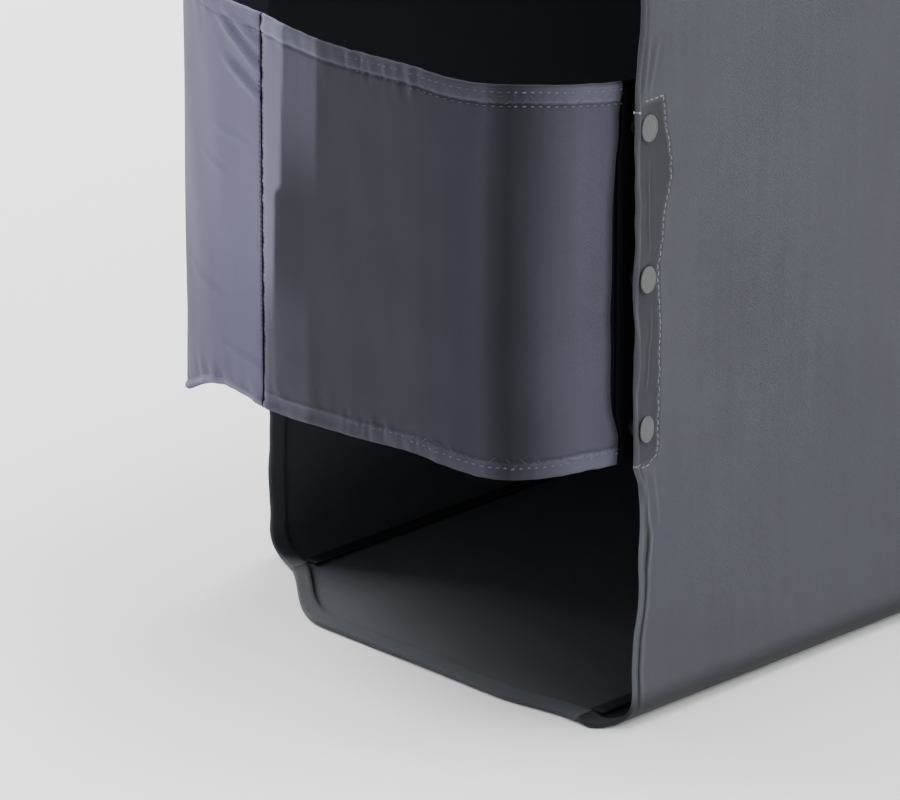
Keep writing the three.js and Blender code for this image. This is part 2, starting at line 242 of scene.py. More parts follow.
def gusset(t, x):
    """The gusset, from the lower mouth (t = 0) round the handle end to the upper one."""
    t, x = together(t, x)
    mirrored = t > AROUND / 2
    t = where(mirrored, AROUND - t, t)
    turn, u, v, beyond = along_corner(t)
    _, y, z = pillow(CORNER_Y + u * REACH_Y, PANEL_B0 + (1 - v) * REACH_Z)
    outer = maximum(abs(x) - (FACE - HANDLE_R), 0)
    arc = sqrt(maximum(HANDLE_R**2 - outer**2, 0))
    crown = (arc - (HANDLE_R - EDGE_R / 2)) / (EDGE_R / 2)
    crowned = y + (LENGTH - (CORNER_Y + CORNER_REACH)) * ramp(turn, 0, 1) * crown
    z = where(t < CORNER_Y, 0, z + beyond)
    return stack([x, where(t < CORNER_Y, t, crowned), where(mirrored, WIDTH - z, z)], -1)


def mouth(x):
    """The mouth's edge, from the wheel face, at x."""
    back = (BACK_MOUTH - SIDE_MOUTH) * (1 - ramp(x, 4 - FACE, 84 - FACE))
    rise = 0.3 * ramp(x, FACE - 75, FACE - 30) + 0.7 * ramp(x, FACE - 17, FACE)
    return SIDE_MOUTH + back + (FRONT_MOUTH - SIDE_MOUTH) * rise


front_edge = eased([-20, 28, 57, 86, 111, 124, 133, 150, 185, 215, 250, 300, 308, 320, 333, 345, 357, 380,
    460], [0, -1, 1.8, 4.0, 2.9, 2.4, -2.2, -2.4, -2.5, -2.9, -2.6, -2.8, -3.6, -1.9, -0.4, 0.9, 2.1, 2,
    0], soft=5)


def panel_mouth(side, b):
    """The mouth's edge of the front (1) or back (-1) panel, at b across it."""
    drop, _, _ = pillow(np.full_like(b, 100), b)
    return mouth(side * (FACE - drop)) + (front_edge(b) if side > 0 else 0)


def strap_line():
    """The strap's outer line from above, as (length along it, x, y)."""
    q = linspace(0, pi / 2, 300)
    x0, r = -FACE + STRAP_FACE, WHEEL_R - STRAP_FACE
    x = join([[x0], x0 + r * (1 - cos(q)), STRAP_END_X - STRAP_END_R * (1 - sin(q)), [STRAP_END_X]])
    y = join([[BACK_MOUTH - 1 + UNDER_HEM], WHEEL_R - r * sin(q), WHEEL_R - r * cos(q), [95]])
    return run(stack([x, y], -1)) - UNDER_HEM, x, y


LINE_S, LINE_X, LINE_Y = strap_line()
STRAP_LONG = LINE_S[-1]


def strap_face(s, z):
    s, z = together(s, z)
    return stack([interp(s, LINE_S, LINE_X), interp(s, LINE_S, LINE_Y), z], -1)


def s_at(x):
    """Where the strap passes x on the wheel face."""
    return float(interp(x, LINE_X[1:-1], LINE_S[1:-1]))


SEAM_S = s_at(STRAP_SEAM_X)
TUCK_S = STRAP_LONG - 20  # where the strap goes under the front panel's edge
tuck_from_end = eased([118, 134, 147, 160, 175, 209, 222, 260, 285, 296, 308, 320], [27, 26.8, 25.6, 30,
    31.3, 31.5, 30.5, 30.4, 29.2, 27, 27, 24.6], soft=7)


def tuck_line(z):
    """Where the strap's end, painted near black as shadow, begins at height z."""
    return STRAP_LONG - tuck_from_end(z)


low_edge = eased([0, 30, 55, 68, 81, 97, 112, 122, 132, 141, 150, 161, 180, 204, 229, 254, 268, 286, 300,
    312, 325, 338, 351, 366, STRAP_LONG], [101, 105, 109, 112, 116, 122.5, 129.8, 134, 136.4, 136.2, 134.6,
    132.2, 132.1, 133.5, 135, 137.4, 138, 135.6, 132.8, 131.6, 131.9, 132.4, 133.2, 132.5, 131.5], soft=8)
high_edge = eased([0, 30, 55, 81, 96, 112, 125, 139, 163, 179, 197, 215, 233, 250, 266, 280, 293, 306, 324,
    350, 369, STRAP_LONG], [356, 352.5, 349, 344, 339.5, 335.2, 332.8, 331.6, 330.4, 328.2, 326.6, 326.6,
    327.4, 328.4, 329.1, 328.1, 327.2, 326.6, 326.5, 324.2, 321.6, 318.8], soft=8)
HEM_EDGES = {"lower": (low_edge, 1), "upper": (high_edge, -1)}


# ---- Mesh making
def mesh_piece(name, verts, faces, material, body, replaces=(), smooth=True):
    mesh = bpy.data.meshes.new(name)
    mesh.from_pydata([tuple(v) for v in verts], [], [tuple(f) for f in faces])
    mesh.update()
    mesh.polygons.foreach_set("use_smooth", [smooth] * len(mesh.polygons))
    piece = bpy.data.objects.new(name, mesh)
    bpy.context.collection.objects.link(piece)
    mesh.materials.append(material)
    if body:
        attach(piece, body)
    if replaces:
        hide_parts(*replaces)
    return piece


def grid_faces(nu, nv, wrap_v=False):
    i = arange(nu * nv).reshape(nu, nv)
    if wrap_v:
        i = join([i, i[:, :1]], 1)
    return stack([i[:-1, :-1], i[1:, :-1], i[1:, 1:], i[:-1, 1:]], -1).reshape(-1, 4)


def tubes(name, lines, side, up, count, material, slot, body, replaces=(), flip=False):
    """A closed tube along each line, whose rings go from side to up."""
    q = linspace(0, 2 * pi, count + 1)[:-1, None]
    verts = lines[..., None, :] + side[..., None, :] * cos(q) + up[..., None, :] * sin(q)
    whole = lines.shape[-2] * count
    one = [f[::-1] if flip else f for f in grid_faces(lines.shape[-2], count, True).tolist()]
    one += [list(range(count)), list(range(whole - 1, whole - count - 1, -1))]
    verts = verts.reshape(-1, 3)
    faces = [[start + k for k in face] for start in range(0, len(verts), whole) for face in one]
    return mesh_piece(name, row(verts), faces, material, body, replaces)


def placed(surface, a, b, sign):
    """A surface's points, and its normals on the side that sign picks."""
    e = 0.4
    du = surface(a + e, b) - surface(a - e, b)
    dv = surface(a, b + e) - surface(a, b - e)
    return surface(a, b), unit(cross(du, dv) * sign)


SHEETS, SEWN = {}, {}  # the sheets with their flat sizes, and what is sewn to each


def cloth_piece(name, surface, a, b, sign, material, slot, body, replaces, height=0.0, depth=0.0, tone=1.0,
        thick=CLOTH, hole=None, wrap=False, sewn_to=None):
    """A sheet over surface(a, b), raised by height and sunk by depth. sign picks its outside.
    sewn_to names the sheet that a narrow tape or band is sewn to."""
    a, b, height, depth, tone = together(a, b, height, depth, tone)
    base, normal = placed(surface, a, b, sign)
    unwrinkled = base - normal * depth[..., None]
    points = unwrinkled + normal * height[..., None]
    faces = grid_faces(*a.shape, wrap_v=wrap)
    ends = base.reshape(-1, 3)[faces]
    way = cross(ends[:, 2] - ends[:, 0], ends[:, 3] - ends[:, 1])
    if np.median((way * normal.reshape(-1, 3)[faces[:, 0]]).sum(1)) < 0:
        faces = faces[:, ::-1]
    if hole:
        middle = stack([a.ravel()[faces].mean(1), b.ravel()[faces].mean(1)], 1)
        faces = faces[~np.all((middle > hole[0]) & (middle < hole[1]), axis=1)]
    used, local = np.unique(faces, return_inverse=True)
    piece = mesh_piece(name, row(points).reshape(-1, 3)[used], local.reshape(faces.shape), material,
        body, replaces)
    cut = piece.data.attributes.new("cut", "FLOAT_VECTOR", "POINT")
    flat = stack([a.ravel()[used], b.ravel()[used], 0 * used], -1)
    cut.data.foreach_set("vector", flat.ravel().astype(np.float32))
    # tone scales the colour; it carries painted light and shade as well as the cloth's own tone.
    shade = piece.data.attributes.new("tone", "FLOAT", "POINT")
    shade.data.foreach_set("value", tone.ravel()[used].astype(np.float32))
    if sewn_to:
        SEWN.setdefault(sewn_to, []).append(piece)
    else:
        SHEETS[name] = (piece, *flat_size(unwrinkled, faces, wrap))
    solid = piece.modifiers.new("thickness", "SOLIDIFY")
    solid.thickness, solid.offset, solid.use_even_offset = thick * MM, -1, False
    return piece


def flat_size(points, faces, wrap):
    """(width, length, area) that a cloth was cut to, with its hems."""
    ends = points.reshape(-1, 3)[faces]
    area = norm(cross(ends[:, 2] - ends[:, 0], ends[:, 3] - ends[:, 1]), axis=1)
    area = area.sum() / 2 * (MM * CUT) ** 2
    size = [norm(np.diff(points, axis=k), axis=2).sum(k).max() for k in (0, 1)]
    if wrap:
        size = np.ptp(points.reshape(-1, 3), axis=0)
    width, length = (side * MM * CUT for side in sorted(size)[-2:])
    return max(width, area / length), length, area


def hem_rows():
    """(distance from the turned edge, depth) of a turned hem's rows, inside first."""
    inner, turn = linspace(HEM_LEG, 1.5, 4), linspace(pi, 0, 8)
    distance = join([FOLD_R + inner, FOLD_R * (1 - sin(turn))])
    return distance, join([0 * inner + 2 * FOLD_R, FOLD_R * (1 - cos(turn))])


def rows_between(fine, step, long, last=True, dense=1.0):
    """Rows over a cloth as (share, offset, depth), with a turned hem at one end or both."""
    distance, depth = hem_rows()
    near = arange(FOLD_R + dense, fine, dense)
    middle = linspace(0, 1, max(int((long - 2 * fine) / step), 2))
    hem, sunk = join([distance, near]), join([depth, 0 * near])
    parts = [(0 * hem, hem, sunk), (middle, fine * (1 - middle) - (fine if last else 0) * middle,
        0 * middle)]
    if last:
        parts.append((0 * hem + 1, -hem[::-1], sunk[::-1]))
    return tuple(join(part) for part in zip(*parts))


def hem_relief(d, width, along, seed, puff=0.45, pinch=0.5, period=6.5):
    """A hem's height at d from its edge: puffed, pinched at its stitching, and puckered."""
    ripple = waves(along, 0 * along, period, 0, 0, seed, 5)
    body = puff * sin(pi * clip(d / width, 0, 1)) * (1 + 0.35 * ripple)
    drag = 0.22 * ripple * exp(-abs(d - width) / 4)
    return body - pinch * bump(d, width, 0.9) + where(d > 0, drag, 0)


TREES = {}


def pressed(points, normals, cloth, raised=0.08, reach=6):
    """The points, moved along their normals onto a cloth."""
    if cloth not in TREES:
        corners = [vertex.co for vertex in cloth.data.vertices]
        faces = [face.vertices for face in cloth.data.polygons]
        TREES[cloth] = BVHTree.FromPolygons(corners, faces)
    moved = points.copy()
    for i, (point, normal) in enumerate(zip(points, normals)):
        start = Vector(row(point + reach * normal))
        hit = TREES[cloth].ray_cast(start, Vector(-normal), 2 * reach * MM)[0]
        if hit:
            moved[i] = array(hit) / MM - (MID_X, WHEEL_Y, 0) + raised * normal
    return moved


def stitch_row(name, surface, a, b, material, sign=1, raised=0.0, on=ON_COVER, cloth=None, *, pitch, long,
        r, across=False):
    """A row of small rounded stitches along a line on a surface, or lying across it.
    They're pressed onto the cloth named, or lie as high as raised says."""
    points, normals = placed(surface, *together(a, b), sign)
    points = points + normals * np.asarray(raised)[..., None]
    if cloth:
        points = pressed(points, normals, cloth)
    along = run(points)
    at = arange(pitch / 2, along[-1], pitch)
    centre, up = at_length(points, along, at), at_length(normals, along, at)
    axis, up = unit(at_length(points, along, at + 0.5) - centre), unit(up)
    side = cross(axis, up)
    if across:
        axis, side = side, -axis
    t = linspace(-1, 1, 6)[:, None]
    ring = r * sqrt(maximum(1 - t**4, 0.04))
    centre, axis, up, side = (vectors[:, None] for vectors in (centre, axis, up, side))
    lines = centre + axis * t * long / 2 + up * 0.35 * r * (1 - t**2)
    return tubes(name, lines, side * ring, up * ring * 0.8, 6, material, *on)


# ---- Materials
class Look:
    """A material in the making."""

    def __init__(self, name):
        self.material = bpy.data.materials.new(name)
        self.material.use_nodes = True
        self.tree = self.material.node_tree
        self.shader = self.tree.nodes["Principled BSDF"]

    def feed(self, node, inputs):
        for key, value in inputs.items():
            if isinstance(value, bpy.types.NodeSocket):
                self.tree.links.new(value, node.inputs[key])
            else:
                node.inputs[key].default_value = value

    def node(self, kind, inputs, output=0, **settings):
        node = self.tree.nodes.new("ShaderNode" + kind)
        for key, value in settings.items():
            setattr(node, key, value)
        self.feed(node, inputs)
        return node.outputs[output]

    def math(self, operation, *values):
        return self.node("Math", dict(enumerate(values)), operation=operation)

    def mix(self, *parts):
        """The sum of values, each times its share."""
        total = 0.0
        for value, share in parts:
            total = self.math("MULTIPLY_ADD", value, share, total)
        return total

    def ribs(self, vector, axis, width):
        place = self.node("SeparateXYZ", {0: vector}, axis)
        return self.math("SINE", self.math("MULTIPLY", place, 2 * pi / width))

    def noise(self, vector, scale, detail):
        mapped = self.node("Mapping", {"Vector": vector, "Scale": scale})
        return self.node("TexNoise", {"Vector": mapped, "Scale": 1, "Detail": detail}, "Fac")

    def shades(self, value, colour, *stops):
        """A colour times a share that goes from one (value, share) stop to the next."""
        node = self.tree.nodes.new("ShaderNodeValToRGB")
        for element, (place, share) in zip(node.color_ramp.elements, stops):
            element.position, element.color = place, (*(c * share for c in colour), 1)
        self.feed(node, {"Fac": value})
        return node.outputs["Color"]

    def done(self, relief=None, strength=0.0, distance=0.0, **inputs):
        """The material, bumped by a relief. Inputs are named with _ for a space."""
        if relief is not None:
            inputs["Normal"] = self.node("Bump", {"Height": relief, "Strength": strength,
                "Distance": distance})
        self.feed(self.shader, {key.replace("_", " "): value for key, value in inputs.items()})
        return self.material


def cloth_material(name, colour, mottle=0.10, specular=0.25, blush=None):
    """Fine two-way stretch weave: ribs both ways, soft mottling, a little sheen. Its tone scales
    the colour and carries painted light and shade as well as the cloth's own paler and darker
    parts. Where its tone is above 1 the blush is added: cloth that is stretched paler is also
    warmer, and painted highlights get the same warmth."""
    look, rib = Look(name), 1.1
    cut = look.node("Attribute", {}, "Vector", attribute_name="cut")
    tone = look.node("Attribute", {}, "Fac", attribute_name="tone")
    weave = look.math("MULTIPLY", look.ribs(cut, 0, rib), look.ribs(cut, 1, rib))
    fuzz = look.noise(cut, (2.2, 2.2, 2.2), 2)
    streak = look.noise(cut, (0.16, 0.012, 0.1), 3)
    cloud = look.noise(cut, (0.018, 0.018, 0.02), 4)
    level = look.mix((streak, 0.45), (cloud, 0.55), (weave, 0.07), (fuzz, 0.10))
    base = look.shades(level, colour, (0.32, 1 - mottle), (0.78, 1 + mottle))
    toned = look.node("VectorMath", {0: base, "Scale": tone}, operation="SCALE")
    if blush:
        paler = look.math("MAXIMUM", look.math("SUBTRACT", tone, 1), 0)
        toned = look.node("VectorMath", {0: blush, 1: paler, 2: toned}, operation="MULTIPLY_ADD")
    return look.done(look.mix((weave, 1), (fuzz, 0.9)), 0.25, 0.00025, Base_Color=toned, Roughness=0.82,
        Sheen_Weight=0.05, Sheen_Roughness=0.5, Specular_IOR_Level=specular)


def tape_material(name, colour, rib=1.3, roughness=0.8, specular=0.3):
    """Woven tape, ribbed across its length."""
    look = Look(name)
    cut = look.node("Attribute", {}, "Vector", attribute_name="cut")
    level = look.mix((look.ribs(cut, 0, rib), 0.22), (look.noise(cut, (1.6, 1.6, 1.6), 2), 1))
    return look.done(level, 0.5, 0.0003, Roughness=roughness, Specular_IOR_Level=specular,
        Base_Color=look.shades(level, colour, (0.25, 0.7), (0.85, 1.25)))


def thread_material(name, colour, specular=0.4):
    look = Look(name)
    twist = look.noise(look.node("TexCoord", {}, "Object"), (900, 900, 900), 2)
    return look.done(Base_Color=look.shades(twist, colour, (0.3, 0.75), (0.7, 1.15)), Roughness=0.6,
        Specular_IOR_Level=specular)


def metal_material(name, colour, metallic, low, high, grain=260, depth=0.12, patch=90):
    """Metal with fine handling marks in its roughness and relief."""
    look = Look(name)
    place = look.node("TexCoord", {}, "Object")
    marks = look.noise(place, (grain, grain * 4, grain), 4)
    broad = look.noise(place, (patch, patch, patch), 2)
    return look.done(marks, depth, 0.0002, Metallic=metallic, Base_Color=look.shades(broad, colour, (0.3,
        0.88), (0.7, 1.06)), Roughness=look.math("MULTIPLY_ADD", marks, high - low, low))


COVER = cloth_material("cover cloth", (0.0465, 0.051, 0.060))
STRAP = cloth_material("strap cloth", (0.0228, 0.0242, 0.0325), specular=0.15, blush=(0.0044, 0.0029,
    0.0046))
ROOT = cloth_material("strap root cloth", (0.136, 0.135, 0.200), mottle=0.06, specular=0.12)
TAPE = tape_material("tape", (0.012, 0.013, 0.017))
ELASTIC = tape_material("elastic", (0.30, 0.30, 0.31), rib=1.8)
THREAD = thread_material("thread", (0.13, 0.14, 0.155))
THREAD_PALE = thread_material("pale thread", (0.32, 0.33, 0.36))
THREAD_STRAP = thread_material("strap thread", (0.078, 0.082, 0.1))
THREAD_FAINT = thread_material("faint thread", (0.055, 0.058, 0.072))
THREAD_ROOT = thread_material("root thread", (0.15, 0.149, 0.215))
THREAD_DARK = thread_material("dark thread", (0.006, 0.006, 0.012), 0.06)
# Near black: a painted shadow for the strap's end, where it goes under the front panel's edge.
END_TAPE_PAINTED_SHADOW = tape_material("strap end painted shadow", (0.005, 0.005, 0.0065), roughness=1, specular=0.0)
CAP = metal_material("snap cap", (0.064, 0.069, 0.067), 0.0, 0.5, 0.7, 700, 0.35, patch=520)
GUNMETAL = metal_material("gunmetal", (0.06, 0.06, 0.065), 1.0, 0.3, 0.5)
ZIP_COIL = metal_material("zip coil", (0.03, 0.032, 0.038), 0.0, 0.35, 0.55)
ZIP_METAL = metal_material("zip metal", (0.10, 0.10, 0.11), 1.0, 0.25, 0.45)


# ---- The camera, floor and lights
VIEW_AZIMUTH, VIEW_ELEVATION = 45.531, 21.166
CAMERA_AT = (2.72785, -2.92220, 1.60499)
LENS, SENSOR = 342, 36
FLOOR = 14
LIGHTS_AIM = array([0, 0, 0.22])


def direction(azimuth, elevation):
    """The unit vector towards these angles, in degrees."""
    azimuth, elevation = radians(azimuth), radians(elevation)
    return array([sin(azimuth) * cos(elevation), -cos(azimuth) * cos(elevation), sin(elevation)])


def aimed(name, data, at, towards):
    """A camera or light, turned towards a place."""
    thing = bpy.data.objects.new(name, data)
    thing.location = Vector(at)
    thing.rotation_euler = (Vector(towards) - Vector(at)).to_track_quat("-Z", "Y").to_euler()
    bpy.context.collection.objects.link(thing)
    return thing


view = bpy.data.cameras.new("camera")
view.lens, view.sensor_width, view.clip_end = LENS, SENSOR, 100
bpy.context.scene.camera = aimed("camera", view, CAMERA_AT, array(CAMERA_AT) - direction(VIEW_AZIMUTH,
    VIEW_ELEVATION))

corners = [(x * FLOOR, y * FLOOR, -0.0005) for x, y in ((-1, -1), (1, -1), (1, 1), (-1, 1))]
floor = mesh_piece("floor", corners, [(0, 1, 2, 3)],
    Look("floor").done(Base_Color=(0.92, 0.92, 0.92, 1), Roughness=0.9), None, smooth=False)

world = bpy.data.worlds.new("studio")
world.use_nodes = True
sky = world.node_tree.nodes["Background"]
sky.inputs["Color"].default_value = (0.95, 0.97, 1, 1)
sky.inputs["Strength"].default_value = 0.6
bpy.context.scene.world = world

for name, azimuth, elevation, distance, size, power in (("left", -80, 32, 2.6, 1.6, 110),
        ("right", 100, 35, 2.8, 1.8, 56), ("above", 170, 76, 2.8, 2.4, 135)):
    light = bpy.data.lights.new(name, "AREA")
    light.shape, light.size, light.energy = "SQUARE", size, power
    aimed(name, light, LIGHTS_AIM + direction(azimuth, elevation) * distance, LIGHTS_AIM)


# ---- The strap
def strap_grid(s0, s1, mark=None, step=1.6):
    """(s, z, depth, distance to the nearer edge) over a length of strap with turned edges.
    One column follows the mark, a line across the strap."""
    share, offset, sunk = rows_between(14, step, 200, dense=0.7)
    along = linspace(s0, s1, int((s1 - s0) / step) + 1)
    low, high = low_edge(along)[:, None], high_edge(along)[:, None]
    z = low + share * (high - low) + offset
    depth = sunk * (1 - 0.35 * ramp(along, TUCK_S - 4, TUCK_S + 10))[:, None]
    s = along[:, None] + 0 * z
    if mark:
        middle = along[np.argmin(abs(along - STRAP_LONG + 28))]
        before = clip((s - middle + 20) / 20, 0, 1)
        after = clip((s1 - s) / (s1 - middle), 0, 1)
        s = s + (mark(z) - middle) * where(s < middle, before, after)
    return s, z, depth, minimum(z - low, high - z)


def strap_height(s, z, d, depth):
    """How the strap's cloth hugs the case and is pulled to its seam, hems and snaps."""
    x = interp(s, LINE_S, LINE_X)
    mid = ramp(d, 6, 40)
    hug = 0.5 * bump(x, -27, 9) + 0.55 * bump(x, 88, 11) - 0.7 * bump(x, 106, 8)
    hug = where(s > SEAM_S, hug, 0) * (0.5 + 0.5 * mid)
    pull = 0.34 * waves(s, z, 66, 84, 12, 3) * mid * ramp(s, SEAM_S, SEAM_S + 60)
    long = 0.22 * waves(s, z, 34, 8, 10, 4) * mid
    seam, from_back = abs(s - SEAM_S), maximum(s, 0)
    pucker = 0.16 * waves(z, 0 * s, 9, 0, 0, 5, 5) * exp(-seam / 6) - 0.5 * bump(seam, 0, 1.8)
    gather = 0.3 * waves(z, 0 * s, 10, 0, 0, 8, 5) * exp(-from_back / 7)
    back_seam = gather * ramp(s, -1, 4) - 0.5 * bump(from_back, 0, 2.5)
    fade = 1 - ramp(s, TUCK_S - 14, TUCK_S)
    rolled = where(z < WIDTH / 2, hem_relief(d, 4.6, s, 13, 0.9, 0.15, 26), hem_relief(d, HEM_LEG, s, 12,
        period=34))
    flat = ramp(x, 0, 34)
    hem = rolled * (1 - flat) + hem_relief(d, HEM_LEG, s, 11) * flat
    hem = where(depth > 0.4, 0, hem)
    hem += 0.18 * waves(s, z, 11, 20, 20, 12) * exp(-maximum(d - HEM_LEG, 0) / 7)
    snaps = sum(-0.5 * bump(hypot(s - STRAP_LONG + 16, z - at), 0, 7) for at in SNAP_Z)
    return hug + pucker + back_seam + (pull + long + hem + snaps) * fade


# Painted light and shade across the strap, by x: a painted shade valley at its crease near x = 106 and a
# painted highlight along its turn onto the front.
across_painted_shading = eased([-60, -10, 10, 40, 62, 72, 80, 88, 93, 96, 98, 100, 106, 112, 117, 121, 125, 131],
    [1.08, 1.06, 1.12, 1.1, 1.04, 1.14, 1.24, 1.22, 1.2, 1.28, 1.16, 0.88, 0.42, 0.78, 1.22, 1.62, 2.08,
    1.95], soft=3)


def strap_show_through_and_shade(s, z):
    """The case's channels and ribs show through the tight cloth, darker and lighter. Painted
    light and shade are added too: across the strap's turn onto the front, along its hem folds,
    and a painted shadow where it goes under the front panel's edge.
    """
    x = interp(s, LINE_S, LINE_X)
    x = x + 0.6 * waves(z, 0 * x, 120, 0, 0, 21, 4)
    upper = ramp(z, 243, 249)
    lean = (5.5 + 0.03 * (z - 300)) * upper
    near = 1 - ramp(x, -32.2 + lean, -29.4 + lean)
    next_to = (1 - ramp(x, -4.5, -1.5)) * upper * ramp(z, 238, 300)
    faint = (1 - ramp(x, -12, -6)) * (1 - ramp(z, 180, 215))
    paler = maximum(maximum(1.4 * next_to, 0.5 * faint), near * (1.05 + 3.1 * ramp(z, 168, 215)))
    paler += 0.9 * bump(s, SEAM_S + 2.4, 1.3)
    d = minimum(z - low_edge(s), high_edge(s) - z)
    # Painted highlight along each hem's fold, and painted shade lines at its edge and stitching.
    hem = 0.36 * ramp(d, 0.3, 1.6) * (1 - ramp(d, 8.2, 9.4)) - 0.15 * bump(d, 0, 1)
    hem += 0.42 * bump(d, 8.1, 0.9) - 0.2 * bump(d, 9.9, 0.7)
    tone = across_painted_shading(x) * (1 + paler) * (1 + hem * (1 - 0.5 * near))
    # Painted shadow: darker where the strap goes under the front panel's edge.
    return tone * (1 - 0.6 * ramp(s, tuck_line(z) - 5, tuck_line(z)))


def root_tone_and_shade(s, z):
    """Paler towards the top, and darker round its turn to the back as painted shade. Its rolled
    lower hem gets a painted highlight, with painted shade at its edge.
    """
    # Painted highlight on the rolled lower hem, and painted shade at its edge.
    roll = 0.35 * bump(z - low_edge(s), 2.2, 1.6) - 0.25 * bump(z - low_edge(s), 0, 0.9)
    return 0.83 + 0.23 * ramp(z, 150, 240) - 0.42 * (1 - ramp(s, 76, 150)) + roll


s, z, depth, d = strap_grid(SEAM_S + 0.5, STRAP_LONG, tuck_line)
main = cloth_piece("strap_main", strap_face, s, z, 1, STRAP, *ON_STRAP,
    ("strap_main_panel", "strap_lower_hem", "strap_upper_hem"), strap_height(s, z, d, depth), depth,
    strap_show_through_and_shade(s, z))
# Faces past the tuck line get the near-black painted shadow.
main.data.materials.append(END_TAPE_PAINTED_SHADOW)
spot = [at.vector for at in main.data.attributes["cut"].data]
for face in main.data.polygons:
    along, up = (sum(spot[k][axis] for k in face.vertices) / 4 for axis in (0, 1))
    face.material_index = int(along > tuck_line(up))

s, z, depth, d = strap_grid(-UNDER_HEM, SEAM_S - 0.5)
folds = creases(s - SEAM_S, z, ((-52, 345), (3, 311), 2.6, 1.5, 0.5), ((-32, 325), (3, 299), 2.3, 2.0,
    0.5), ((-27, 304), (3, 286), 2.1, 1.8, 0.5), ((-46, 252), (-20, 243), 1.8, 0.5), ((-34, 268), (-6,
    262), 1.8, 0.45), ((-30, 158), (2, 152), 2.0, 0.5), ((-60, 190), (-25, 181), 2.4, 0.5))
root = cloth_piece("strap_root", strap_face, s, z, 1, ROOT, "strap_root_cloth", None,
    ("strap_root_panel",), strap_height(s, z, d, depth) + folds * ramp(d, 2, 12), depth, root_tone_and_shade(s, z))


def hem_stitches(name, label, s0, s1, step, inset, weave, nominal, sunk, material, **kind):
    """A row of stitches along a strap hem, inset from its edge and weaving about that line."""
    edge, side = HEM_EDGES[label]
    s = arange(s0, s1, step)
    z = edge(s) + side * (inset + weave * (abs((s / 3.4) % 2 - 1) * 2 - 1))
    lift = strap_height(s, z, np.full_like(s, nominal), 0 * s) - sunk
    stitch_row(name, strap_face, s, z, material, raised=lift, on=ON_STRAP, **kind)


STITCHES = (  # part, edge, from, to, distances in from the edge, thread, size
    ("near", "lower", s_at(16), s_at(60), (7.6,), THREAD_FAINT, 0.34),
    ("near", "upper", s_at(16), s_at(60), (3.2, 9.4), THREAD_FAINT, 0.2),
    ("mid", "upper", s_at(60), s_at(108), (3.2, 10.2), THREAD_FAINT, 0.28),
    ("far", "lower", s_at(60), TUCK_S - 3, (6.3,), THREAD_STRAP, 0.40),
    ("far", "upper", s_at(108), TUCK_S - 3, (3.2, 10.2), THREAD_STRAP, 0.40),
    ("root", "lower", 32, SEAM_S - 3, (4.6,), THREAD_ROOT, 0.22),
    ("root", "upper", 32, SEAM_S - 3, (3.2, 9.4), THREAD_ROOT, 0.22))
for part, label, s0, s1, rows, thread, r in STITCHES:
    for row_name, inset in zip("ab", rows):
        hem_stitches(f"strap_{part}_{label}_stitches_{row_name}", label, s0, s1, 0.8, inset, 0, inset,
            0.05, thread, pitch=3.9, long=2.1, r=r)

# A zigzag of thinner thread beside those rows, at the snapped end.
for label, middle in (("lower", 8.8), ("upper", 6.6)):
    hem_stitches(f"strap_far_{label}_zigzag", label, s_at(60), TUCK_S - 3, 0.35, middle, 1.6, 6.5, 0.06,
        THREAD_FAINT, pitch=5.25, long=4.6, r=0.14)

# The seam between the strap's two cloths: a flat dark cord of overlocking with small ticks.
seam_z = arange(low_edge(SEAM_S) + 0.5, high_edge(SEAM_S) - 0.5, 0.7)
points, normal = placed(strap_face, *together(SEAM_S, seam_z), 1)
ahead = strap_face(SEAM_S + 1, seam_z) - points
swell = 1 + 0.06 * sin(2 * pi * seam_z / 2.5)
swell += 1.1 * bump(seam_z, seam_z[0] + 1, 6) + 0.3 * bump(seam_z, seam_z[-1], 5)
cord_r = 0.34 * swell[:, None]
tubes("strap_seam_overlock", points - 0.35 * normal, ahead * cord_r, normal * cord_r, 12, THREAD_DARK,
    *STRAP_TAPE)
for side, at in (("root", SEAM_S - 1.2), ("main", SEAM_S + 1.4)):
    lift = strap_height(at + 0 * seam_z, seam_z, 50 + 0 * seam_z, 0 * seam_z)
    stitch_row(f"strap_seam_ticks_{side}", strap_face, at, seam_z, THREAD_DARK, raised=lift, on=STRAP_TAPE,
        pitch=2.5, long=1.6, r=0.15, across=True)

cloth_piece("strap_seam_lining", strap_face, linspace(SEAM_S - 5, SEAM_S + 5, 9)[:, None],
    linspace(low_edge(SEAM_S) + 10, high_edge(SEAM_S) - 10, 120), 1, TAPE,
    *STRAP_TAPE, ("strap_seam_tape",), 0, 1.6, thick=0.7, sewn_to="strap_main")
for label, (edge, side) in HEM_EDGES.items():
    along = arange(8, TUCK_S, 3.0)[:, None]
    cloth_piece(f"strap_{label}_band", strap_face, along,
        edge(along) + side * linspace(1.6, 6.8, 5), 1, ELASTIC, "elastic",
        "closing_strap", (f"strap_{label}_elastic",), 0, 1.05, thick=0.4, sewn_to="strap_main")

(_, END_Y0, _), (END_X, END_Y1, _) = case_box("strap_end_facing")
z = linspace(low_edge(TUCK_S) + 2, high_edge(TUCK_S) - 2, 100)
start_y = maximum(END_Y0, END_Y1 - tuck_from_end(z) + 0.5)
y = start_y + linspace(0, 1, 16)[:, None] * (END_Y1 - start_y)
z = z + 0 * y
# The end facing is painted near black, as shadow in the gap under the front panel's edge.
cloth_piece("strap_end_lining", flat_sheet(END_X), y, z, 1, END_TAPE_PAINTED_SHADOW, *STRAP_TAPE,
    ("strap_end_facing",), 0.04 * waves(z, 0 * z, 9, 0, 0, 41, 4), thick=0.9)


